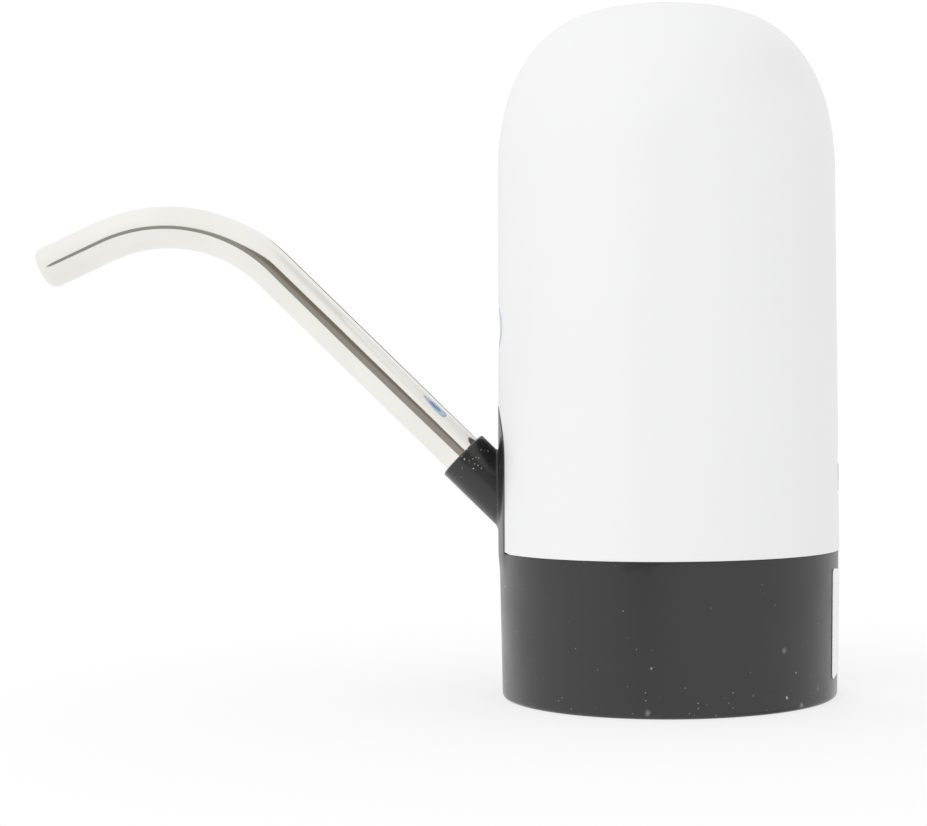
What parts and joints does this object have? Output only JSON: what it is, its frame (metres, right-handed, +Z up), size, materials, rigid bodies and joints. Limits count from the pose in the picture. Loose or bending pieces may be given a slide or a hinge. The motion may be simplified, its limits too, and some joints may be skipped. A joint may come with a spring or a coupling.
{
  "type": "electric water jug pump",
  "caption": "Domed white pump body on a black collar that grips a water jug's neck, with a bent steel spout, a front button and a charging socket.",
  "frame": {"origin": "on the body's axis, in the plane of the base's bottom rim", "axes": "+Z up the body's axis to the dome, -X towards the spout and the button, +X to the charging socket, +Y to the battery's side"},
  "size_m": [0.1541, 0.065, 0.13],
  "materials": {
    "white_shell": "smooth satin white plastic",
    "black_base": "fine satin black plastic",
    "polished_steel": "polished stainless steel",
    "pale_blue_lens": "pale blue translucent plastic",
    "label_film": "blank white label film",
    "soft_black_rubber": "matt black rubber",
    "milky_silicone": "milky silicone",
    "white_nylon": "white nylon",
    "grey_nylon": "grey glass-filled nylon",
    "zinc_plate": "bright zinc plate",
    "magnet_ferrite": "grey ferrite",
    "armature_steel": "varnished windings and steel",
    "turned_brass": "turned brass",
    "cell_wrap": "blue shrink wrap over the cell's can",
    "circuit_board": "green solder resist",
    "switch_black": "black moulded switch body",
    "clear_plastic": "clear acrylic",
    "red_insulation": "red wire insulation",
    "black_insulation": "black wire insulation"
  },
  "bodies": {
    "base": {"outer_shell": "white_shell", "base_collar": "black_base", "rating_label": "label_film", "neck_sleeve": "soft_black_rubber", "nipple_seal": "soft_black_rubber", "diaphragm": "soft_black_rubber", "jug_seal": "milky_silicone", "inlet_hose": "milky_silicone", "outlet_hose": "milky_silicone", "outlet_valve": "milky_silicone", "inlet_nipple": "white_nylon", "pump_cover": "white_nylon", "valve_plate": "white_nylon", "pump_housing": "white_nylon", "motor_end_cap": "white_nylon", "outlet_elbow": "grey_nylon", "chassis_frame": "grey_nylon", "motor_clamp": "grey_nylon", "battery_strap": "grey_nylon", "wobble_plate": "grey_nylon", "motor_can": "zinc_plate", "hose_clip_1": "zinc_plate", "hose_clip_2": "zinc_plate", "shell_screw_1": "zinc_plate", "shell_screw_2": "zinc_plate", "shell_screw_3": "zinc_plate", "shell_screw_4": "zinc_plate", "deck_screw_1": "zinc_plate", "deck_screw_2": "zinc_plate", "deck_screw_3": "zinc_plate", "clamp_screw_1": "zinc_plate", "clamp_screw_2": "zinc_plate", "strap_screw_1": "zinc_plate", "strap_screw_2": "zinc_plate", "pump_screw_1": "zinc_plate", "pump_screw_2": "zinc_plate", "pump_screw_3": "zinc_plate", "button_board_screw_1": "zinc_plate", "button_board_screw_2": "zinc_plate", "board_screw_1": "zinc_plate", "board_screw_2": "zinc_plate", "usb_receptacle": "zinc_plate", "motor_magnet_1": "magnet_ferrite", "motor_magnet_2": "magnet_ferrite", "battery_cell": "cell_wrap", "button_board": "circuit_board", "main_board": "circuit_board", "tact_switch": "switch_black", "charge_light_pipe": "clear_plastic", "motor_lead_red": "red_insulation", "battery_lead_red": "red_insulation", "motor_lead_black": "black_insulation", "battery_lead_black": "black_insulation"},
    "spout_gland": {"spout_seal": "milky_silicone"},
    "spout": {"spout_tube": "polished_steel"},
    "button": {"power_button": "pale_blue_lens"},
    "plunger": {"switch_plunger": "white_nylon"},
    "socket_cover": {"usb_cover": "milky_silicone"},
    "motor_rotor": {"rotor": "armature_steel", "eccentric": "turned_brass"}
  },
  "joints": [
    {"name": "spout_swivel", "type": "hinge", "parent": "base", "child": "spout_gland", "pos_m": [-0.0394, 0, 0.046], "axis": [-0.712, 0, 0.7022], "continuous": true},
    {"name": "spout_slide", "type": "slide", "parent": "spout_gland", "child": "spout", "axis": [-0.712, 0, 0.7022], "range_m": [-0.0086, 0.0025]},
    {"name": "power_button_press", "type": "slide", "parent": "base", "child": "button", "axis": [1, 0, 0], "range_m": [0, 0.0005], "stiffness_N_per_m": 400, "springref_m": -0.0015},
    {"name": "switch_plunger_press", "type": "slide", "parent": "base", "child": "plunger", "axis": [1, 0, 0], "range_m": [0, 0.0005]},
    {"name": "socket_cover_hinge", "type": "hinge", "parent": "base", "child": "socket_cover", "pos_m": [0.0325, 0, 0.0387], "axis": [0, 1, 0], "range_deg": [0, 110]},
    {"name": "motor_spin", "type": "hinge", "parent": "base", "child": "motor_rotor", "pos_m": [-0.0026, -0.0095, 0.075], "axis": [0, 0, 1], "continuous": true}
  ],
  "couplings": [
    {"joint": "switch_plunger_press", "follows": "power_button_press", "ratio": 1}
  ]
}
